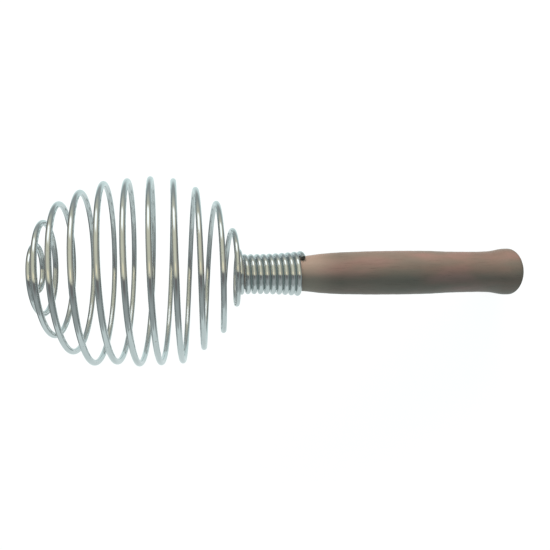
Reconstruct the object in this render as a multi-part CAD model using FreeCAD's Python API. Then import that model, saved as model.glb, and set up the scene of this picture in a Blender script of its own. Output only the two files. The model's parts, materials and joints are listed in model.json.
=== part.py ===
"""Balloon whisk with a coiled spring-wire ball on a turned wooden handle.

One chromed wire is wound from a small curl at the tip, through a ball of
open turns, into a tight neck coil that grips the handle's spigot.  The whisk
is modelled along its own axis first (tip at x = 0, butt at OVERALL_LENGTH)
and then laid down the way it rests on a table, on its ball and its butt.

A position on the wire is given by its turn number: 0 at the middle of the
tip, 12 where the ball meets the neck.  Whole turns pass the +Y side.
"""

import FreeCAD, Part
import bisect
import math
import os

# ---------------------------------------------------------------- driving dimensions, mm
OVERALL_LENGTH = 294.8
WIRE_DIAMETER = 3.2

BALL_RADIUS = 52.0            # centre-line of the widest turn
BALL_WIDEST_X = 65.0
BALL_END_X = 115.4            # where the ball's outline comes down to the neck coil
TIP_FULLNESS = 2.44           # superellipse power: 2 is an ellipse, more is blunter
NECK_FULLNESS = 2.0
BALL_OFFSET_Y = 1.25          # the ball sits a little off the handle's axis

WIRE_START_TURN = 0.12
TURN_SPACING = 12.72          # along the ball's outline, from one turn to the next
TIP_START_ARC = 4.15          # outline length already used at turn 0
BUNCHING = 1.85               # how far the hand winding strays from even turns, in one slow wave
BUNCHING_START_TURN = 2.07
BUNCHING_TURNS = 12.0
NECK_WIDENING = 14.65         # extra outline length gained by the last open turns
NECK_WIDENING_POWER = 6.88
TURN_FAN = 0.00048            # radians per mm: the turns fan open a little on the +Y side
FAN_CENTRE_X = 60.0

# How far the hand-wound wire strays outwards where it passes the -Y and +Y sides,
# at each half turn from the first one named here.
STRAY_FIRST_TURN = 2.5
STRAY = (
    0.5, 0.0, 1.0, -0.5, 2.0, 0.5, -1.0, 0.5, -0.5, 1.5,
    -0.5, 2.0, 1.5, 1.5, 0.0, 1.5, 0.5, -1.5, 1.0,
)

NECK_TURN = 12.0
NECK_BLEND_TURNS = (11.5, 12.6)   # where the wire bends from the ball into the coil
NECK_SPRINGBACK = 2.6         # how far it springs outwards half way through that bend
COIL_RADIUS = 10.35           # centre-line
COIL_PITCH = 3.75
COIL_FIRST_TURN = 12.25
COIL_FIRST_X = 116.3
COIL_FLARE_TURN = 14.0        # from here the coil opens slowly towards the handle's shoulder
COIL_FLARE = 1.75
WIRE_END_TURN = 22.11

COIL_GRIP = 0.05              # how far the coil bites into the wood
SPIGOT_START_X = 118.0
SPIGOT_CHAMFER = 1.0
SHOULDER = ((156.7, 10.8), (162.7, 11.6), (171.7, 12.45), (184.7, 13.05))   # x and radius
GRIP = ((204.7, 13.5), (221.7, 13.6), (235.7, 13.45), (246.7, 13.05))
GRIP_MIDDLE_X = 221.7
WAIST = ((265.7, 12.85), (270.7, 12.9), (278.7, 13.5))
BUTT_RADIUS = 14.8
BUTT_WIDEST_X = 288.9
BUTT_FLAT_RADIUS = 6.0

# The wire is one piece.  It is cut here only so that its spring motion can be
# shown: half-integer cuts take the sideways sway and whole cuts the squeeze.
FIRST_CUT_TURN = 11.5
LAST_CUT_TURN = 3.0
CUT_STEP = 0.5

POINTS_PER_TURN = 24
OUTLINE_STEPS = 2000
TILT_SEARCH_DEG = 30.0
TILT_SEARCH_STEPS = 40

WIRE_RADIUS = WIRE_DIAMETER / 2
AXIS_X = FreeCAD.Vector(1, 0, 0)
AXIS_Y = FreeCAD.Vector(0, 1, 0)


# ---------------------------------------------------------------- the wire's centre-line
def smooth_step(value):
    """0 below 0, 1 above 1, and an even S curve between."""
    value = min(1.0, max(0.0, value))
    return value * value * (3.0 - 2.0 * value)


def quarter_outline(half_length, fullness, end_radius):
    """Points of a quarter superellipse, from its end radius out to the ball's widest point."""
    points = []
    for i in range(OUTLINE_STEPS + 1):
        angle = math.pi / 2 * i / OUTLINE_STEPS
        back = half_length * max(0.0, math.cos(angle)) ** (2.0 / fullness)
        rise = math.sin(angle) ** (2.0 / fullness)
        points.append((back, end_radius + (BALL_RADIUS - end_radius) * rise))
    return points


def ball_outline():
    """The ball's outline from tip to neck, as lists of arc length, x and radius."""
    tip_side = quarter_outline(BALL_WIDEST_X - WIRE_RADIUS, TIP_FULLNESS, 0.0)
    neck_side = quarter_outline(BALL_END_X - BALL_WIDEST_X, NECK_FULLNESS, COIL_RADIUS)
    points = [(BALL_WIDEST_X - back, radius) for back, radius in tip_side]
    points += [(BALL_WIDEST_X + back, radius) for back, radius in reversed(neck_side[:-1])]
    arcs = [0.0]
    for (x0, r0), (x1, r1) in zip(points, points[1:]):
        arcs.append(arcs[-1] + math.hypot(x1 - x0, r1 - r0))
    return arcs, [p[0] for p in points], [p[1] for p in points]


ARCS, OUTLINE_X, OUTLINE_R = ball_outline()


def ball_station(turn):
    """x and radius of the wire at a turn of the ball, from its distance along the outline."""
    wave = 2 * math.pi * (turn - BUNCHING_START_TURN) / BUNCHING_TURNS
    widening = NECK_WIDENING * (turn / NECK_TURN) ** NECK_WIDENING_POWER
    arc = TIP_START_ARC + TURN_SPACING * turn + BUNCHING * math.sin(wave) + widening
    arc = min(arc, ARCS[-1])
    i = max(1, bisect.bisect_left(ARCS, arc))
    share = (arc - ARCS[i - 1]) / (ARCS[i] - ARCS[i - 1])
    x = OUTLINE_X[i - 1] + share * (OUTLINE_X[i] - OUTLINE_X[i - 1])
    radius = OUTLINE_R[i - 1] + share * (OUTLINE_R[i] - OUTLINE_R[i - 1])
    return x, radius


def coil_radius(turn):
    """Centre-line radius of the neck coil, which opens over its last turns."""
    flare = max(0.0, turn - COIL_FLARE_TURN) / (WIRE_END_TURN - COIL_FLARE_TURN)
    return COIL_RADIUS + COIL_FLARE * flare ** 2


def coil_x(turn):
    """Place of a neck turn along the whisk."""
    return COIL_FIRST_X + COIL_PITCH * (turn - COIL_FIRST_TURN)


def coil_share(turn):
    """0 in the ball, 1 in the neck coil, and in between where the wire bends from one to the other."""
    blend_start, blend_end = NECK_BLEND_TURNS
    return smooth_step((turn - blend_start) / (blend_end - blend_start))


def wire_station(turn):
    """x and radius of the wire's centre-line at any turn."""
    share = coil_share(turn)
    if share == 1.0:
        return coil_x(turn), coil_radius(turn)
    ball_x, ball_r = ball_station(turn)
    x = ball_x + share * (coil_x(turn) - ball_x)
    springback = NECK_SPRINGBACK * 4 * share * (1.0 - share)
    radius = ball_r + share * (coil_radius(turn) - ball_r) + springback
    return x, radius


def hand_stray(turn):
    """How far the wire strays outwards from the even outline, in a smooth curve through STRAY."""
    halves = (turn - STRAY_FIRST_TURN) * 2
    i = math.floor(halves)
    before = STRAY[i] if 0 <= i < len(STRAY) else 0.0
    after = STRAY[i + 1] if 0 <= i + 1 < len(STRAY) else 0.0
    return before + (after - before) * smooth_step(halves - i)


def wire_point(turn):
    """Point of the centre-line: whole turns pass +Y, and the wire advances towards +Z."""
    x, radius = wire_station(turn)
    radius += hand_stray(turn)
    y = radius * math.cos(2 * math.pi * turn)
    z = radius * math.sin(2 * math.pi * turn)
    in_ball = 1.0 - coil_share(turn)
    fan = TURN_FAN * (x - FAN_CENTRE_X) * y
    return FreeCAD.Vector(x + in_ball * fan, y + in_ball * BALL_OFFSET_Y, z)


def wire_centre_line():
    """The whole wire as one spline whose parameter is the turn number."""
    count = round((WIRE_END_TURN - WIRE_START_TURN) * POINTS_PER_TURN)
    step = (WIRE_END_TURN - WIRE_START_TURN) / count
    turns = [WIRE_START_TURN + step * i for i in range(count + 1)]
    line = Part.BSplineCurve()
    line.interpolate(Points=[wire_point(turn) for turn in turns], Parameters=turns)
    return line


# ---------------------------------------------------------------- sub-parts
def wire_length(centre_line, start_turn, end_turn):
    """A round wire swept between two turns; both end faces run along the whisk's axis."""
    path = centre_line.copy()
    path.segment(start_turn, end_turn)
    start = path.value(path.FirstParameter)
    heading = path.tangent(path.FirstParameter)[0]
    heading.x = 0.0
    ring = Part.Wire(Part.Circle(start, heading, WIRE_RADIUS).toShape())
    sweep = Part.BRepOffsetAPI.MakePipeShell(Part.Wire(path.toShape()))
    sweep.setBiNormalMode(AXIS_X)
    sweep.add(ring)
    sweep.build()
    sweep.makeSolid()
    return Part.Solid(sweep.shape())


def handle():
    """Turned wooden handle: spigot inside the coil, swelling grip, waist and rounded butt."""
    spigot_radius = COIL_RADIUS - WIRE_RADIUS + COIL_GRIP
    flare_x = coil_x(COIL_FLARE_TURN)
    flare_step = (WIRE_END_TURN - COIL_FLARE_TURN) / 4
    flare_turns = [COIL_FLARE_TURN + flare_step * i for i in (1, 2, 3, 4)]
    flare = [(coil_x(turn), coil_radius(turn) - WIRE_RADIUS + COIL_GRIP) for turn in flare_turns]
    outline = [(flare_x, spigot_radius), *flare, *SHOULDER, *GRIP, *WAIST, (BUTT_WIDEST_X, BUTT_RADIUS)]

    side = Part.BSplineCurve()
    side.interpolate(
        Points=[FreeCAD.Vector(x, r, 0) for x, r in outline],
        InitialTangent=AXIS_X,
        FinalTangent=AXIS_X,
    )
    butt = Part.Ellipse(
        FreeCAD.Vector(BUTT_WIDEST_X, BUTT_RADIUS, 0),
        FreeCAD.Vector(BUTT_WIDEST_X + butt_depth(), 0, 0),
        FreeCAD.Vector(BUTT_WIDEST_X, 0, 0),
    )
    butt_end = FreeCAD.Vector(OVERALL_LENGTH, BUTT_FLAT_RADIUS, 0)
    crest = FreeCAD.Vector(BUTT_WIDEST_X, BUTT_RADIUS, 0)
    first, last = sorted((butt.parameter(butt_end), butt.parameter(crest)))
    if last - first > math.pi:
        first, last = last, first + 2 * math.pi

    corners = [
        FreeCAD.Vector(SPIGOT_START_X, 0, 0),
        FreeCAD.Vector(SPIGOT_START_X, spigot_radius - SPIGOT_CHAMFER, 0),
        FreeCAD.Vector(SPIGOT_START_X + SPIGOT_CHAMFER, spigot_radius, 0),
        FreeCAD.Vector(flare_x, spigot_radius, 0),
    ]
    edges = [Part.makeLine(a, b) for a, b in zip(corners, corners[1:])]
    edges.append(side.toShape())
    edges.append(butt.toBSpline(first, last).toShape())
    edges.append(Part.makeLine(butt_end, FreeCAD.Vector(OVERALL_LENGTH, 0, 0)))
    edges.append(Part.makeLine(FreeCAD.Vector(OVERALL_LENGTH, 0, 0), corners[0]))
    section = Part.Face(Part.Wire(Part.__sortEdges__(edges)))
    return section.revolve(FreeCAD.Vector(0, 0, 0), AXIS_X, 360)


def wire_cuts():
    """Turn numbers of the cuts, from the neck towards the tip."""
    count = round((FIRST_CUT_TURN - LAST_CUT_TURN) / CUT_STEP)
    return [FIRST_CUT_TURN - CUT_STEP * i for i in range(count + 1)]


def whisk_along_x():
    """Every node's solid, modelled along the whisk's own axis."""
    line = wire_centre_line()
    cuts = wire_cuts()
    nodes = {"handle": handle(), "neck_coil": wire_length(line, cuts[0], WIRE_END_TURN)}
    for number, (outer, inner) in enumerate(zip(cuts, cuts[1:]), start=1):
        nodes[f"ball_wire_{number:02d}"] = wire_length(line, inner, outer)
    nodes["ball_tip_curl"] = wire_length(line, WIRE_START_TURN, cuts[-1])
    return nodes


# ---------------------------------------------------------------- the resting place
def butt_depth():
    """Half-length of the ellipse that rounds the butt, cut off at the small end flat."""
    run = OVERALL_LENGTH - BUTT_WIDEST_X
    return run / math.sqrt(1 - (BUTT_FLAT_RADIUS / BUTT_RADIUS) ** 2)


def ball_clearance(tilt):
    """How much higher than the butt the ball hangs when the whisk is tilted by this angle."""
    steps = round(NECK_TURN * POINTS_PER_TURN)
    points = [wire_point(NECK_TURN * (i + 1) / steps) for i in range(steps)]
    ball_low = min(p.z * math.cos(tilt) - p.x * math.sin(tilt) for p in points) - WIRE_RADIUS
    butt_reach = math.hypot(butt_depth() * math.sin(tilt), BUTT_RADIUS * math.cos(tilt))
    return ball_low + BUTT_WIDEST_X * math.sin(tilt) + butt_reach


def resting_tilt():
    """Tilt at which ball and butt both touch the table, found by halving the interval."""
    low, high = 0.0, math.radians(TILT_SEARCH_DEG)
    for _ in range(TILT_SEARCH_STEPS):
        middle = (low + high) / 2
        if ball_clearance(middle) < 0:
            low = middle
        else:
            high = middle
    return (low + high) / 2


def lay_down(nodes):
    """Tilt the whisk onto the table and centre its box over the origin."""
    tilt = FreeCAD.Rotation(AXIS_Y, math.degrees(resting_tilt()))
    turned = FreeCAD.Placement(FreeCAD.Vector(0, 0, 0), tilt)
    box = Part.makeCompound([s.transformed(turned.toMatrix()) for s in nodes.values()])
    box = box.optimalBoundingBox()
    shift = FreeCAD.Vector(-box.Center.x, -box.Center.y, -box.ZMin)
    return FreeCAD.Placement(shift, tilt)


def main():
    nodes = whisk_along_x()
    place = lay_down(nodes)
    os.makedirs("parts", exist_ok=True)
    for name, solid in nodes.items():
        laid = solid.transformed(place.toMatrix())
        laid.exportStep(f"parts/{name}.step")


main()
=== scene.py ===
"""Looks of the balloon whisk: the plated spring wire, the turned handle, and a pale studio."""

import json
import math

import bpy
import numpy as np
from mathutils import Matrix, Vector


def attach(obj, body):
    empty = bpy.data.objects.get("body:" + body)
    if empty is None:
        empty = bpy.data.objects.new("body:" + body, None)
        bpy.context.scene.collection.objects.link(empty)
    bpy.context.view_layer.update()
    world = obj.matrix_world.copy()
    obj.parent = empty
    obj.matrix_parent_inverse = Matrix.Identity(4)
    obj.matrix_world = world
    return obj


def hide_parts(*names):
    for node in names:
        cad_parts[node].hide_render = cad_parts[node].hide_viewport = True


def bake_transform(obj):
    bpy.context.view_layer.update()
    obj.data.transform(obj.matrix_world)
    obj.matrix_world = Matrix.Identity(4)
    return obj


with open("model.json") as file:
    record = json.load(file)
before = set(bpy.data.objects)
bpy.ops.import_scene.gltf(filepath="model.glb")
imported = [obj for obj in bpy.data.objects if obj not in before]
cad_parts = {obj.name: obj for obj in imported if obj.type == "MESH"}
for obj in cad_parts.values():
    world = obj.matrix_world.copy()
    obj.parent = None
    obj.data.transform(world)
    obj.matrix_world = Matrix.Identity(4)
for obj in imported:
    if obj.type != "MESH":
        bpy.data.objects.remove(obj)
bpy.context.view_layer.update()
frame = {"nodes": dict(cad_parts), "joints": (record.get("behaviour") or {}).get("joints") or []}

# ---------------------------------------------------------------- the wire's line, metres
# A place on the wire is given by its turn number: 0 at the tip, 12 at the neck.
WIRE_RADIUS = 0.0016
BALL_RADIUS = 0.0520          # the wire's centre-line at the widest turn
BALL_WIDEST_X = 0.0650        # measured along the whisk's axis from its tip
BALL_END_X = 0.1154
TIP_FULLNESS = 2.44           # superellipse powers of the ball's outline
NECK_FULLNESS = 2.0
BALL_OFFSET_Y = 0.00125       # the ball sits a little off the handle's axis

TURN_SPACING = 0.01272
TIP_START_ARC = 0.00415
BUNCHING = 0.00185            # a slow wave in the spacing of the hand-wound turns
BUNCHING_START_TURN = 2.07
BUNCHING_TURNS = 12.0
NECK_WIDENING = 0.01465
NECK_WIDENING_POWER = 6.88
TURN_FAN = 0.48               # radians per metre
FAN_CENTRE_X = 0.060

# How far the hand-wound wire strays outwards where it passes the -Y and +Y sides, at each
# half turn from the first one named here, in millimetres.
STRAY_FIRST_TURN = 2.5
STRAY = (
    0.5, 0.0, 1.0, -0.5, 2.0, 0.5, -1.0, 0.5, -0.5, 1.5,
    -0.5, 2.0, 1.5, 1.5, 0.0, 1.5, 0.5, -1.5, 1.0,
)
MILLIMETRE = 0.001

NECK_TURN = 12.0
NECK_BLEND_TURNS = (11.5, 12.6)
NECK_SPRINGBACK = 0.0026
COIL_RADIUS = 0.01035
COIL_PITCH = 0.00375
COIL_FIRST_TURN = 12.25
COIL_FIRST_X = 0.1163
COIL_FLARE_TURN = 14.0
COIL_FLARE = 0.00175
WIRE_START_TURN = 0.12
WIRE_END_TURN = 22.11

# The wire's CAD nodes follow one another from the neck to the tip.
FIRST_CUT_TURN = 11.5
LAST_CUT_TURN = 3.0
CUT_STEP = 0.5

OUTLINE_STEPS = 4000
LENGTH_STEPS = 4000
TANGENT_STEP = 1e-4           # turns
WIRE_SIDES = 28
RINGS_PER_TURN = 96
FEWEST_RINGS = 8
WORN_END = 0.00035            # length of the worn edge at the wire's two cut ends
WORN_RINGS = ((0.0, 0.80), (0.4, 0.93))   # share of that length, share of the wire's radius

SWAY_JOINT = "ball_sway"
SWAY_TURN = 8.5
SQUEEZE_JOINT = "ball_squeeze"

# ---------------------------------------------------------------- the handle, metres
HANDLE_SIDES = 144
HANDLE_RING_STEP = 0.0006
SAME_RING = 2e-5              # CAD points closer than this along the axis are one ring
BUTT_EDGE = 0.0004            # worn edge of the small end flat
SANDING = 0.00004             # height of the faint waves that hand sanding leaves
SANDING_LENGTHS = (0.0071, 0.0193)

# ---------------------------------------------------------------- the plating
# Noise scales are per metre: along the wire, then the two directions across it. A noise value
# lies between 0 and 1, and a pair of levels says where an effect begins and where it is full.
FINE_DETAIL = 3.0             # octaves of the finer noises, here and in the other materials
DRAWING_LINE_SCALE = (20, 2600, 2600)
DRAWING_LINE_DETAIL = 1.0
DRAWING_LINE_STRENGTH = 0.04
DRAWING_LINE_DEPTH = 0.00002  # metres
HAZE_SCALE = (60, 420, 420)
HAZE_GRAIN = 0.6
HAZE_LEVELS = (0.30, 0.70)
HAZE_DARK = (0.60, 0.62, 0.62)
HAZE_PALE = (0.70, 0.72, 0.72)
PLATING_ROUGHNESS = (0.03, 0.06)
SPECK_SCALE = (900, 900, 900)
SPECK_LEVELS = (0.68, 0.75)
SPECK_COLOUR = (0.40, 0.39, 0.36)
SPECK_ROUGHNESS = 0.25        # added to the plating's

# ---------------------------------------------------------------- the wire's sheared end
DRAG_SCALE = (900, 5200, 900)
DRAG_GRAIN = 0.6
DRAG_LEVELS = (0.3, 0.7)
DRAG_DARK = (0.05, 0.055, 0.05)
DRAG_PALE = (0.16, 0.16, 0.15)
DRAG_STRENGTH = 0.6
DRAG_DEPTH = 0.0001           # metres
SHEARED_METALLIC = 0.8
SHEARED_ROUGHNESS = 0.5

# ---------------------------------------------------------------- the wood
# Noise scales are per metre: along the handle, then the two directions across it.
CLOUD_SCALE = (26, 75, 75)
CLOUD_STOPS = (
    (0.36, (0.205, 0.148, 0.112)),
    (0.50, (0.262, 0.156, 0.118)),
    (0.62, (0.335, 0.168, 0.136)),
)
LAYER_WARP_SCALE = (7, 45, 45)
LAYER_WARP_GRAIN = 0.55
LAYER_WARP = 16.0             # how far the growth layers wander, in radians
LAYERS_ACROSS = (520.0, 210.0)    # radians of growth layer per metre, level and upright
LAYER_COLOUR = (0.190, 0.110, 0.080)
LAYER_SHARE = 0.35
LAYER_RELIEF = 0.15           # beside the pores' depth of 1
PATCH_SCALE = (16, 60, 60)
PATCH_LEVELS = (0.45, 0.75)
PATCH_COLOUR = (0.310, 0.205, 0.160)
PATCH_SHARE = 0.5
PORE_SCALE = (120, 2400, 2400)
PORE_GRAIN = 0.6
PORE_LEVELS = (0.57, 0.70)
PORE_COLOUR = (0.120, 0.068, 0.050)
PORE_SHARE = 0.45
PORE_ROUGHNESS = 0.12         # added to the wood's
SATIN_LEVELS = (0.3, 0.7)
SATIN_ROUGHNESS = (0.38, 0.48)
GRAIN_STRENGTH = 0.30
GRAIN_DEPTH = 0.00005         # metres
# Places along the whisk's axis between which an effect fades in or out.
RUBBED_FADES = (0.1560, 0.1760)    # the shoulder beyond the coil is rubbed pale
RUBBED_COLOUR = (0.560, 0.370, 0.280)
RUBBED_MOST = 0.42
SEAT_STARTS = (0.1186, 0.1192)    # painted shade on the wood under the coil, where the turns keep the light out
SEAT_FADES = (0.1500, 0.1520)
# colour of the painted shade under the coil
SEAT_PAINTED_SHADE = (0.085, 0.105, 0.105)
SEAT_GLOW = 0.14              # stands for the light that works its way between the turns
SEAT_GLOW_COLOUR = (0.75, 1.0, 0.98)

# ---------------------------------------------------------------- the camera
CAMERA_DISTANCE = 0.31217     # from the whisk's axis
CAMERA_X = 0.13746            # the point of the axis that the camera faces
CAMERA_LEAN_DEG = 9.03        # how much farther the butt lies than the ball
CAMERA_ROLL_DEG = 0.62
CAMERA_SHIFT_DOWN = 0.00065   # the axis sits this far above the middle of the picture
CAMERA_LENS = 34.055
CAMERA_NEAREST = 0.01         # nothing nearer is drawn

# ---------------------------------------------------------------- the light and the table
WINDOW_WATTS = 16.0
WINDOW_LEAN_DEG = 75.0        # from straight up towards +Y
WINDOW_DISTANCE = 1.2
WINDOW_LENGTH = 1.0
WINDOW_HEIGHT = 0.4
WINDOW_LIGHT_COLOUR = (1.0, 0.97, 0.93)
TABLE_SIZE = 6.0
TABLE_COLOUR = (0.20, 0.20, 0.20)
TABLE_ROUGHNESS = 0.9
TABLE_GLOW = 0.95             # lifts the table almost to white, so its shadow is faint

# ---------------------------------------------------------------- the room in the plating
# Six plain surfaces, and where each starts and ends in degrees round the level line that
# the whisk lies along: 0 is straight up, 90 is level on the window's side, and 180 is
# straight down.
PALE_WALL = (0.70, 0.80, 0.80)
GREY_CURTAIN = (0.40, 0.45, 0.45)
DARK_BEAM = (0.20, 0.20, 0.20)
WARM_CEILING = (0.75, 0.75, 0.60)
SHADED_SILL = (0.35, 0.40, 0.40)
LIT_TABLE = (0.70, 0.85, 0.85)
ROOM_MIDDLE = (
    (-180, PALE_WALL),
    (-75, PALE_WALL),
    (-70, GREY_CURTAIN),
    (-40, GREY_CURTAIN),
    (-20, DARK_BEAM),
    (-10, DARK_BEAM),
    (-5, WARM_CEILING),
    (75, WARM_CEILING),
    (110, SHADED_SILL),
    (125, SHADED_SILL),
    (145, LIT_TABLE),
    (165, LIT_TABLE),
    (180, PALE_WALL),
)
# Three darker surfaces take over towards the room's two ends.
END_BELOW = (0.15, 0.15, 0.15)
END_WALL = (0.30, 0.35, 0.35)
END_CEILING = (0.40, 0.40, 0.35)
ROOM_ENDS = (
    (-110, END_BELOW),
    (-90, END_WALL),
    (-20, END_WALL),
    (-5, END_CEILING),
    (75, END_CEILING),
    (100, END_BELOW),
)
ROOM_END_START = 0.55         # how far a direction points along that line, from 0 to 1
ROOM_END_FULL = 0.84
# Bright patches of the room: where each starts, is full, fades and ends in degrees from
# straight up, and its middle, half width and end along the same line.
WINDOW_LEAN = (47.0, 56.0, 76.0, 83.0)
WINDOW_REACH = (-0.07, 0.28, 0.50)
WINDOW_COLOUR = (1.55, 1.62, 1.62)
LAMP_LEAN = (-4.0, 1.0, 7.0, 12.0)
LAMP_REACH = (0.06, 0.16, 0.30)
LAMP_COLOUR = (1.25, 1.10, 0.78)
FILL_COLOUR = (0.30, 0.46, 0.49)      # cool light from all sides, on what is not a mirror
SEEN_BACKDROP = (0.97, 0.97, 0.97)


# ---------------------------------------------------------------- the whisk's own axes
def joint_named(name):
    """The frame's record of one joint."""
    return next(joint for joint in frame["joints"] if joint["name"] == name)


def smooth_step(value):
    """0 below 0, 1 above 1, and an even S curve between."""
    value = np.clip(value, 0.0, 1.0)
    return value * value * (3.0 - 2.0 * value)


def ball_outline():
    """The ball's outline from tip to neck, as arrays of arc length, x and radius."""
    angle = np.linspace(0.0, math.pi / 2, OUTLINE_STEPS)
    cosine = np.clip(np.cos(angle), 0, 1)
    sine = np.sin(angle)
    tip_x = BALL_WIDEST_X - (BALL_WIDEST_X - WIRE_RADIUS) * cosine ** (2 / TIP_FULLNESS)
    tip_r = BALL_RADIUS * sine ** (2 / TIP_FULLNESS)
    neck_x = BALL_WIDEST_X + (BALL_END_X - BALL_WIDEST_X) * cosine[::-1] ** (2 / NECK_FULLNESS)
    neck_r = COIL_RADIUS + (BALL_RADIUS - COIL_RADIUS) * sine[::-1] ** (2 / NECK_FULLNESS)
    x = np.concatenate([tip_x, neck_x[1:]])
    r = np.concatenate([tip_r, neck_r[1:]])
    arc = np.concatenate([[0.0], np.cumsum(np.hypot(np.diff(x), np.diff(r)))])
    return arc, x, r


OUTLINE = ball_outline()


def coil_share(turns):
    """0 in the ball, 1 in the neck coil, and in between where the wire bends into it."""
    start, end = NECK_BLEND_TURNS
    return smooth_step((turns - start) / (end - start))


def wire_stations(turns):
    """x and radius of the wire's centre-line at each turn number."""
    arc, outline_x, outline_r = OUTLINE
    wave = np.sin(2 * math.pi * (turns - BUNCHING_START_TURN) / BUNCHING_TURNS)
    widening = NECK_WIDENING * (turns / NECK_TURN) ** NECK_WIDENING_POWER
    along = TIP_START_ARC + TURN_SPACING * turns + BUNCHING * wave + widening
    ball_x = np.interp(along, arc, outline_x)
    ball_r = np.interp(along, arc, outline_r)
    flare = np.clip((turns - COIL_FLARE_TURN) / (WIRE_END_TURN - COIL_FLARE_TURN), 0, None)
    coil_x = COIL_FIRST_X + COIL_PITCH * (turns - COIL_FIRST_TURN)
    coil_r = COIL_RADIUS + COIL_FLARE * flare ** 2
    share = coil_share(turns)
    springback = NECK_SPRINGBACK * 4 * share * (1 - share)
    return ball_x + share * (coil_x - ball_x), ball_r + share * (coil_r - ball_r) + springback


def whisk_axes():
    """Origin and directions of the whisk's own axes in the row frame, from two joints."""
    along = np.array(joint_named(SQUEEZE_JOINT)["axis"])
    along /= np.linalg.norm(along)
    side = np.array([0.0, 1.0, 0.0])
    up = np.cross(along, side)
    on_axis = np.array(joint_named(SWAY_JOINT)["pos_m"])
    sway_x, _ = wire_stations(np.array([SWAY_TURN]))
    return on_axis - sway_x[0] * along, along, side, up


ORIGIN, ALONG, SIDE, UP = whisk_axes()


def in_row_frame(x, y, z):
    """Points given along the whisk's axes, as an array of row-frame points."""
    return ORIGIN + np.outer(x, ALONG) + np.outer(y, SIDE) + np.outer(z, UP)


def hand_stray(turns):
    """How far the wire strays outwards from the even outline, in a smooth curve through STRAY."""
    halves = (turns - STRAY_FIRST_TURN) * 2
    i = np.floor(halves).astype(int)
    padded = np.array((0.0, *STRAY, 0.0)) * MILLIMETRE
    before = padded[np.clip(i + 1, 0, len(STRAY) + 1)]
    after = padded[np.clip(i + 2, 0, len(STRAY) + 1)]
    return before + (after - before) * smooth_step(halves - i)


def wire_centres(turns):
    """Centre-line points at the given turn numbers: whole turns pass the +Y side."""
    x, r = wire_stations(turns)
    r = r + hand_stray(turns)
    y = r * np.cos(2 * math.pi * turns)
    z = r * np.sin(2 * math.pi * turns)
    in_ball = 1 - coil_share(turns)
    fan = in_ball * TURN_FAN * (x - FAN_CENTRE_X) * y
    return in_row_frame(x + fan, y + in_ball * BALL_OFFSET_Y, z)


# ---------------------------------------------------------------- the wire's meshes
def make_object(name, points, faces, materials, face_slots):
    """A smooth mesh object with a material slot for each face."""
    mesh = bpy.data.meshes.new(name)
    mesh.from_pydata(points.tolist(), [], faces)
    mesh.polygons.foreach_set("use_smooth", [True] * len(mesh.polygons))
    mesh.polygons.foreach_set("material_index", face_slots)
    for material in materials:
        mesh.materials.append(material)
    piece = bpy.data.objects.new(name, mesh)
    bpy.context.scene.collection.objects.link(piece)
    return piece


def tube_faces(rows, sides):
    """The side faces of a tube of rings, then its first and last end faces."""
    faces = []
    for row in range(rows - 1):
        for side in range(sides):
            after = (side + 1) % sides
            corners = ((row, side), (row, after), (row + 1, after), (row + 1, side))
            faces.append([r * sides + s for r, s in corners])
    faces.append(list(range(sides))[::-1])
    faces.append([(rows - 1) * sides + s for s in range(sides)])
    return faces


def wire_rings(turns, shrink):
    """Ring points, outward normals and tangents of a round wire through the given turns."""
    centres = wire_centres(turns)
    tangents = wire_centres(turns + TANGENT_STEP) - wire_centres(turns - TANGENT_STEP)
    tangents /= np.linalg.norm(tangents, axis=1)[:, None]
    first = ALONG - (tangents @ ALONG)[:, None] * tangents
    first /= np.linalg.norm(first, axis=1)[:, None]
    second = np.cross(tangents, first)
    angle = 2 * math.pi * np.arange(WIRE_SIDES) / WIRE_SIDES
    normals = (first[:, None, :] * np.cos(angle)[None, :, None]
               + second[:, None, :] * np.sin(angle)[None, :, None])
    radii = (WIRE_RADIUS * shrink)[:, None, None]
    return centres[:, None, :] + radii * normals, normals, tangents


def wire_turns(start_turn, end_turn, cut_start, cut_end):
    """Turn numbers of a length's rings, and the share of the full radius that each one has."""
    count = max(FEWEST_RINGS, round((end_turn - start_turn) * RINGS_PER_TURN))
    turns = np.linspace(start_turn, end_turn, count + 1)
    shrink = np.ones(len(turns))
    _, (start_radius, end_radius) = wire_stations(np.array([start_turn, end_turn]))
    if cut_start:
        worn = WORN_END / (2 * math.pi * start_radius)
        edge = [start_turn + share * worn for share, _ in WORN_RINGS]
        turns = np.concatenate([edge, [start_turn + worn], turns[1:]])
        shrink = np.concatenate([[size for _, size in WORN_RINGS], shrink])
    if cut_end:
        worn = WORN_END / (2 * math.pi * end_radius)
        edge = [end_turn - share * worn for share, _ in WORN_RINGS[::-1]]
        turns = np.concatenate([turns[:-1], [end_turn - worn], edge])
        shrink = np.concatenate([shrink, [size for _, size in WORN_RINGS[::-1]]])
    return turns, shrink


def wire_piece(name, start_turn, end_turn, materials, cut_start=False, cut_end=False):
    """A closed length of wire. A real cut end gets a worn edge and bare metal on its face."""
    turns, shrink = wire_turns(start_turn, end_turn, cut_start, cut_end)
    rings, normals, tangents = wire_rings(turns, shrink)
    faces = tube_faces(len(turns), WIRE_SIDES)
    slots = [0] * (len(faces) - 2) + [int(cut_start), int(cut_end)]
    piece = make_object(name, rings.reshape(-1, 3), faces, materials, slots)
    outward = normals.reshape(-1, 3)
    loop_normals = [outward[corner] for face in faces[:-2] for corner in face]
    loop_normals += [-tangents[0]] * WIRE_SIDES + [tangents[-1]] * WIRE_SIDES
    piece.data.normals_split_custom_set(loop_normals)
    store_wire_coordinates(piece, turns)
    return piece, turns


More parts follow.
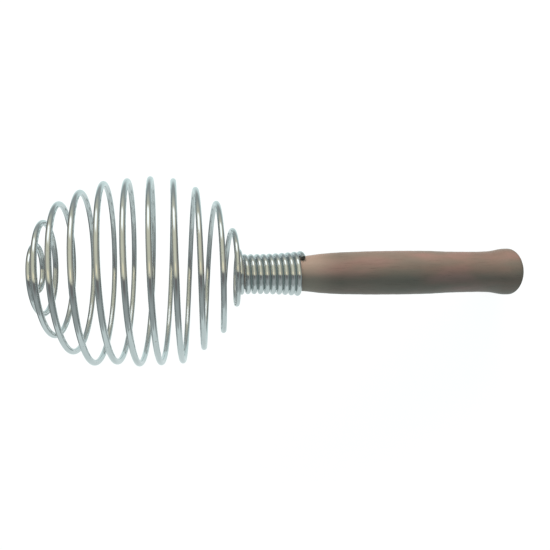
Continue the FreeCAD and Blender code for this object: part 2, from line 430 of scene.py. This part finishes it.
def store_wire_coordinates(piece, turns):
    """Stores each point's distance along the wire and place round it, for the material."""
    reference = np.linspace(WIRE_START_TURN, WIRE_END_TURN, LENGTH_STEPS)
    steps = np.linalg.norm(np.diff(wire_centres(reference), axis=0), axis=1)
    distance = np.interp(turns, reference, np.concatenate([[0.0], np.cumsum(steps)]))
    angle = 2 * math.pi * np.arange(WIRE_SIDES) / WIRE_SIDES
    along = np.repeat(distance, WIRE_SIDES)
    around = np.tile(angle, len(turns))
    local = np.column_stack([along, WIRE_RADIUS * np.cos(around), WIRE_RADIUS * np.sin(around)])
    attribute = piece.data.attributes.new("wire_place", "FLOAT_VECTOR", "POINT")
    attribute.data.foreach_set("vector", local.astype(np.float32).ravel())


def bend_with_joint(piece):
    """Bakes the piece's placement into its points; the piece is not attached to any body and does not
    bend with a joint.
    """
    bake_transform(piece)


def build_wire(materials):
    """The whole spring wire, one piece for each CAD length of it."""
    neck, _ = wire_piece("spring_wire_neck", FIRST_CUT_TURN, WIRE_END_TURN, materials, cut_end=True)
    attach(neck, "handle_and_neck")
    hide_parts("neck_coil")
    count = round((FIRST_CUT_TURN - LAST_CUT_TURN) / CUT_STEP)
    for number in range(1, count + 1):
        end_turn = FIRST_CUT_TURN - CUT_STEP * (number - 1)
        node = f"ball_wire_{number:02d}"
        piece, turns = wire_piece(f"spring_wire_{number:02d}", end_turn - CUT_STEP, end_turn, materials)
        bend_with_joint(piece)
        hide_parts(node)
    tip, turns = wire_piece("spring_wire_tip", WIRE_START_TURN, LAST_CUT_TURN, materials, cut_start=True)
    bend_with_joint(tip)
    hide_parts("ball_tip_curl")


# ---------------------------------------------------------------- the handle's mesh
def cad_handle_rings():
    """x and radius of each ring of points on the CAD handle, from spigot to butt."""
    points = np.array([vertex.co for vertex in frame["nodes"]["handle"].data.vertices]) - ORIGIN
    x = points @ ALONG
    r = np.linalg.norm(points - np.outer(x, ALONG), axis=1)
    order = np.argsort(x)
    x, r = x[order], r[order]
    starts = np.flatnonzero(np.diff(x, prepend=-1.0) > SAME_RING)
    return x[starts], np.maximum.reduceat(r, starts)


def smooth_curve(knots, values, places):
    """A curve through the values that never swings past them."""
    steps = np.diff(knots)
    slopes = np.diff(values) / steps
    before, after = slopes[:-1], slopes[1:]
    same_way = before * after > 0
    harmonic = 2 * before * after / np.where(same_way, before + after, 1.0)
    gradients = np.concatenate([[slopes[0]], np.where(same_way, harmonic, 0.0), [slopes[-1]]])
    i = np.clip(np.searchsorted(knots, places) - 1, 0, len(steps) - 1)
    t = (places - knots[i]) / steps[i]
    rise = t * t * (3 - 2 * t)
    lead_in = t * (1 - t) ** 2 * steps[i] * gradients[i]
    lead_out = t * t * (t - 1) * steps[i] * gradients[i + 1]
    return values[i] + rise * (values[i + 1] - values[i]) + lead_in + lead_out


def handle_outline():
    """The turned handle's outline, with the CAD's radii, faint sanding waves and a worn end."""
    ring_x, ring_r = cad_handle_rings()
    arc = np.concatenate([[0.0], np.cumsum(np.hypot(np.diff(ring_x), np.diff(ring_r)))])
    places = np.linspace(0.0, arc[-1], round(arc[-1] / HANDLE_RING_STEP) + 1)
    x = smooth_curve(arc, ring_x, places)
    r = smooth_curve(arc, ring_r, places)
    waves = sum(np.sin(2 * math.pi * x / length) for length in SANDING_LENGTHS)
    r = r + SANDING / 2 * waves
    flat_radius = r[-1]
    x = np.concatenate([x, [x[-1], x[-1]]])
    r = np.concatenate([r, [flat_radius - BUTT_EDGE, BUTT_EDGE]])
    return x, r


def build_handle(material):
    """The handle as one lathe-turned solid in place of the CAD's plainer mesh."""
    x, r = handle_outline()
    angle = 2 * math.pi * np.arange(HANDLE_SIDES) / HANDLE_SIDES
    along = np.repeat(x, HANDLE_SIDES)
    across = np.outer(r, np.cos(angle)).ravel()
    rise = np.outer(r, np.sin(angle)).ravel()
    points = in_row_frame(along, across, rise)
    faces = tube_faces(len(x), HANDLE_SIDES)
    piece = make_object("turned_handle", points, faces, [material], [0] * len(faces))
    local = np.column_stack([along, across, rise])
    attribute = piece.data.attributes.new("wood_place", "FLOAT_VECTOR", "POINT")
    attribute.data.foreach_set("vector", local.astype(np.float32).ravel())
    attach(piece, "handle_and_neck")
    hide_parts("handle")


# ---------------------------------------------------------------- materials
class Nodes:
    """Short helpers for building a node tree, of a material or of the world."""

    def __init__(self, tree):
        self.tree = tree

    def add(self, kind, **settings):
        node = self.tree.nodes.new(kind)
        for key, value in settings.items():
            setattr(node, key, value)
        return node

    def link(self, source, target):
        self.tree.links.new(source, target)

    def put(self, item, socket):
        """Sets a socket to a number or colour, or links it to another node's output."""
        if isinstance(item, (int, float)):
            socket.default_value = item
        elif isinstance(item, tuple):
            socket.default_value = (*item, 1.0)
        else:
            self.link(item, socket)

    def noise(self, vector, scale, detail=2.0, roughness=0.5):
        """Noise that is stretched by a different scale along each axis."""
        mapping = self.add("ShaderNodeMapping")
        mapping.inputs["Scale"].default_value = scale
        self.link(vector, mapping.inputs["Vector"])
        node = self.add("ShaderNodeTexNoise")
        node.inputs["Scale"].default_value = 1.0
        node.inputs["Detail"].default_value = detail
        node.inputs["Roughness"].default_value = roughness
        self.link(mapping.outputs["Vector"], node.inputs["Vector"])
        return node.outputs["Fac"]

    def ramp(self, value, *stops):
        node = self.add("ShaderNodeValToRGB")
        elements = node.color_ramp.elements
        while len(elements) < len(stops):
            elements.new(0.5)
        for element, (position, colour) in zip(elements, stops):
            element.position = position
            element.color = (*colour, 1.0)
        self.link(value, node.inputs["Fac"])
        return node.outputs["Color"]

    def rescale(self, value, low_in, high_in, low_out, high_out, smooth=False):
        kind = "SMOOTHSTEP" if smooth else "LINEAR"
        node = self.add("ShaderNodeMapRange", interpolation_type=kind)
        names = ("From Min", "From Max", "To Min", "To Max")
        for socket, number in zip(names, (low_in, high_in, low_out, high_out)):
            node.inputs[socket].default_value = number
        self.link(value, node.inputs["Value"])
        return node.outputs["Result"]

    def mix(self, share, first, second):
        node = self.add("ShaderNodeMix", data_type="RGBA")
        sockets = [s for s in node.inputs if s.enabled]
        for socket, item in zip(sockets, (share, first, second)):
            self.put(item, socket)
        return next(s for s in node.outputs if s.enabled)

    def math(self, operation, *items):
        node = self.add("ShaderNodeMath", operation=operation)
        for socket, item in zip(node.inputs, items):
            self.put(item, socket)
        return node.outputs[0]

    def bump(self, height, strength, distance):
        node = self.add("ShaderNodeBump")
        node.inputs["Strength"].default_value = strength
        node.inputs["Distance"].default_value = distance
        self.link(height, node.inputs["Height"])
        return node.outputs["Normal"]


def new_material(name):
    """A material, the helpers for its node tree, and its main shader's inputs."""
    material = bpy.data.materials.new(name)
    material.use_nodes = True
    shader = material.node_tree.nodes["Principled BSDF"]
    return material, Nodes(material.node_tree), shader.inputs


def plated_wire():
    """Bright plated spring wire: drawing lines along it, a little haze, and a few dull specks."""
    material, n, shader = new_material("plated_wire")
    place = n.add("ShaderNodeAttribute", attribute_name="wire_place").outputs["Vector"]
    drawn = n.noise(place, DRAWING_LINE_SCALE, detail=DRAWING_LINE_DETAIL)
    haze = n.noise(place, HAZE_SCALE, detail=FINE_DETAIL, roughness=HAZE_GRAIN)
    speck_mask = n.rescale(n.noise(place, SPECK_SCALE), *SPECK_LEVELS, 0.0, 1.0)
    hazy, clear = HAZE_LEVELS
    tint = n.ramp(haze, (hazy, HAZE_DARK), (clear, HAZE_PALE))
    n.put(n.mix(speck_mask, tint, SPECK_COLOUR), shader["Base Color"])
    n.put(1.0, shader["Metallic"])
    rough = n.rescale(haze, *HAZE_LEVELS, *PLATING_ROUGHNESS)
    n.put(n.math("MULTIPLY_ADD", speck_mask, SPECK_ROUGHNESS, rough), shader["Roughness"])
    n.put(n.bump(drawn, DRAWING_LINE_STRENGTH, DRAWING_LINE_DEPTH), shader["Normal"])
    return material


def sheared_steel():
    """Bare dark steel of a sheared wire end, with the shear's drag marks."""
    material, n, shader = new_material("sheared_steel")
    place = n.add("ShaderNodeTexCoord").outputs["Object"]
    drag = n.noise(place, DRAG_SCALE, detail=FINE_DETAIL, roughness=DRAG_GRAIN)
    low, high = DRAG_LEVELS
    n.put(n.ramp(drag, (low, DRAG_DARK), (high, DRAG_PALE)), shader["Base Color"])
    n.put(SHEARED_METALLIC, shader["Metallic"])
    n.put(SHEARED_ROUGHNESS, shader["Roughness"])
    n.put(n.bump(drag, DRAG_STRENGTH, DRAG_DEPTH), shader["Normal"])
    return material


def growth_layers(n, place, parts):
    """A wave through the wood, from -1 to 1, that stands for its growth layers."""
    level, upright = LAYERS_ACROSS
    warp = n.noise(place, LAYER_WARP_SCALE, detail=FINE_DETAIL, roughness=LAYER_WARP_GRAIN)
    across = n.math("MULTIPLY", parts.outputs["Y"], level)
    layered = n.math("MULTIPLY_ADD", parts.outputs["Z"], upright, across)
    return n.math("SINE", n.math("MULTIPLY_ADD", warp, LAYER_WARP, layered))


def stained_wood():
    """Dark stained hardwood under a satin finish: growth layers, fine pores and rubbed patches, with
    painted shade and a faint painted glow on the wood under the coil.
    """
    material, n, shader = new_material("stained_wood")
    place = n.add("ShaderNodeAttribute", attribute_name="wood_place").outputs["Vector"]
    parts = n.add("ShaderNodeSeparateXYZ")
    n.link(place, parts.inputs["Vector"])
    layers = growth_layers(n, place, parts)
    pores = n.noise(place, PORE_SCALE, detail=FINE_DETAIL, roughness=PORE_GRAIN)
    pore_mask = n.rescale(pores, *PORE_LEVELS, 0.0, 1.0)
    patches = n.noise(place, PATCH_SCALE, detail=FINE_DETAIL)
    body = n.ramp(n.noise(place, CLOUD_SCALE), *CLOUD_STOPS)
    body = n.mix(n.rescale(layers, -1.0, 1.0, 0.0, LAYER_SHARE), body, LAYER_COLOUR)
    body = n.mix(n.rescale(patches, *PATCH_LEVELS, 0.0, PATCH_SHARE), body, PATCH_COLOUR)
    body = n.mix(n.math("MULTIPLY", pore_mask, PORE_SHARE), body, PORE_COLOUR)
    rubbed = n.rescale(parts.outputs["X"], *RUBBED_FADES, RUBBED_MOST, 0.0, smooth=True)
    body = n.mix(rubbed, body, RUBBED_COLOUR)
    # painted shade on the wood under the coil, with a faint painted glow for the light that gets between
    # the turns
    seat_start = n.rescale(parts.outputs["X"], *SEAT_STARTS, 0.0, 1.0)
    seat_end = n.rescale(parts.outputs["X"], *SEAT_FADES, 1.0, 0.0)
    seat_shade_and_glow = n.math("MULTIPLY", seat_start, seat_end)
    n.put(n.mix(seat_shade_and_glow, body, SEAT_PAINTED_SHADE), shader["Base Color"])
    n.put(SEAT_GLOW_COLOUR, shader["Emission Color"])
    n.put(n.math("MULTIPLY", seat_shade_and_glow, SEAT_GLOW), shader["Emission Strength"])
    rough = n.rescale(patches, *SATIN_LEVELS, *SATIN_ROUGHNESS)
    n.put(n.math("MULTIPLY_ADD", pore_mask, PORE_ROUGHNESS, rough), shader["Roughness"])
    height = n.math("MULTIPLY_ADD", layers, LAYER_RELIEF, n.math("MULTIPLY", pore_mask, -1.0))
    n.put(n.bump(height, GRAIN_STRENGTH, GRAIN_DEPTH), shader["Normal"])
    return material


# ---------------------------------------------------------------- studio
def pale_floor():
    """A plain pale table top under the whisk. Only the camera sees it, because the room's
    own picture holds its lower half too."""
    bpy.ops.mesh.primitive_plane_add(size=TABLE_SIZE, location=(0, 0, 0))
    floor = bpy.context.object
    floor.name = "table_top"
    material, n, shader = new_material("pale_table")
    n.put(TABLE_COLOUR, shader["Base Color"])
    n.put(TABLE_ROUGHNESS, shader["Roughness"])
    n.put(SEEN_BACKDROP, shader["Emission Color"])
    n.put(TABLE_GLOW, shader["Emission Strength"])
    material.cycles.emission_sampling = "NONE"
    floor.data.materials.append(material)
    floor.visible_glossy = False
    floor.visible_diffuse = False


def window_light():
    """A large soft window on the +Y side. The plating mirrors it from the room's picture."""
    data = bpy.data.lights.new("window", "AREA")
    data.shape = "RECTANGLE"
    data.size = WINDOW_LENGTH
    data.size_y = WINDOW_HEIGHT
    data.energy = WINDOW_WATTS
    data.color = WINDOW_LIGHT_COLOUR
    light = bpy.data.objects.new("window", data)
    bpy.context.scene.collection.objects.link(light)
    lean = math.radians(WINDOW_LEAN_DEG)
    towards = Vector((0.0, math.sin(lean), math.cos(lean)))
    light.location = towards * WINDOW_DISTANCE
    light.rotation_mode = "QUATERNION"
    light.rotation_quaternion = towards.to_track_quat("Z", "Y")
    light.visible_glossy = False


def patch_mask(n, lean, endwards, patch_lean, reach):
    """1 in the directions of a bright patch of the room, and 0 elsewhere."""
    start, full, fade, end = [math.radians(degrees) for degrees in patch_lean]
    rise = n.rescale(lean, start, full, 0.0, 1.0)
    fall = n.rescale(lean, fade, end, 1.0, 0.0)
    middle, half_width, gone = reach
    away = n.math("ABSOLUTE", n.math("SUBTRACT", endwards, middle))
    within = n.rescale(away, half_width, gone, 1.0, 0.0)
    return n.math("MULTIPLY", n.math("MULTIPLY", rise, fall), within)


def round_the_room(n, place, surfaces):
    """The colour of plain surfaces that follow one another round the room."""
    return n.ramp(place, *[((degrees + 180) / 360, colour) for degrees, colour in surfaces])


def room():
    """The studio round the whisk: what the plating mirrors, a softer fill, and a pale backdrop."""
    world = bpy.data.worlds.new("room")
    bpy.context.scene.world = world
    world.use_nodes = True
    n = Nodes(world.node_tree)
    background = world.node_tree.nodes["Background"]
    parts = n.add("ShaderNodeSeparateXYZ")
    n.link(n.add("ShaderNodeTexCoord").outputs["Generated"], parts.inputs["Vector"])
    lean = n.math("ARCTAN2", parts.outputs["Y"], parts.outputs["Z"])
    place = n.rescale(lean, -math.pi, math.pi, 0.0, 1.0)
    middle = round_the_room(n, place, ROOM_MIDDLE)
    ends = round_the_room(n, place, ROOM_ENDS)
    endwards = n.math("ABSOLUTE", parts.outputs["X"])
    end_share = n.rescale(endwards, ROOM_END_START, ROOM_END_FULL, 0.0, 1.0, smooth=True)
    picture = n.mix(end_share, middle, ends)
    window = patch_mask(n, lean, parts.outputs["X"], WINDOW_LEAN, WINDOW_REACH)
    picture = n.mix(window, picture, WINDOW_COLOUR)
    lamp = patch_mask(n, lean, parts.outputs["X"], LAMP_LEAN, LAMP_REACH)
    picture = n.mix(lamp, picture, LAMP_COLOUR)
    ray = n.add("ShaderNodeLightPath").outputs
    unseen = n.mix(ray["Is Glossy Ray"], FILL_COLOUR, picture)
    n.link(n.mix(ray["Is Camera Ray"], unseen, SEEN_BACKDROP), background.inputs["Color"])


def camera_above():
    """Looks down on the lying whisk, ball to the left."""
    data = bpy.data.cameras.new("camera")
    data.lens = CAMERA_LENS
    data.clip_start = CAMERA_NEAREST
    camera = bpy.data.objects.new("camera", data)
    bpy.context.scene.collection.objects.link(camera)
    lean = math.radians(CAMERA_LEAN_DEG)
    roll = math.radians(CAMERA_ROLL_DEG)
    view = math.sin(lean) * ALONG - math.cos(lean) * UP
    level = math.cos(lean) * ALONG + math.sin(lean) * UP
    right = math.cos(roll) * level - math.sin(roll) * SIDE
    up = np.cross(right, view)
    target = ORIGIN + CAMERA_X * ALONG - CAMERA_SHIFT_DOWN * SIDE
    place = target - CAMERA_DISTANCE * view
    rotation = Matrix([right.tolist(), up.tolist(), (-view).tolist()]).transposed()
    camera.matrix_world = Matrix.Translation(Vector(place)) @ rotation.to_4x4()
    bpy.context.scene.camera = camera


def main():
    bpy.context.scene.view_settings.view_transform = "Standard"
    build_wire([plated_wire(), sheared_steel()])
    build_handle(stained_wood())
    pale_floor()
    room()
    window_light()
    camera_above()


main()
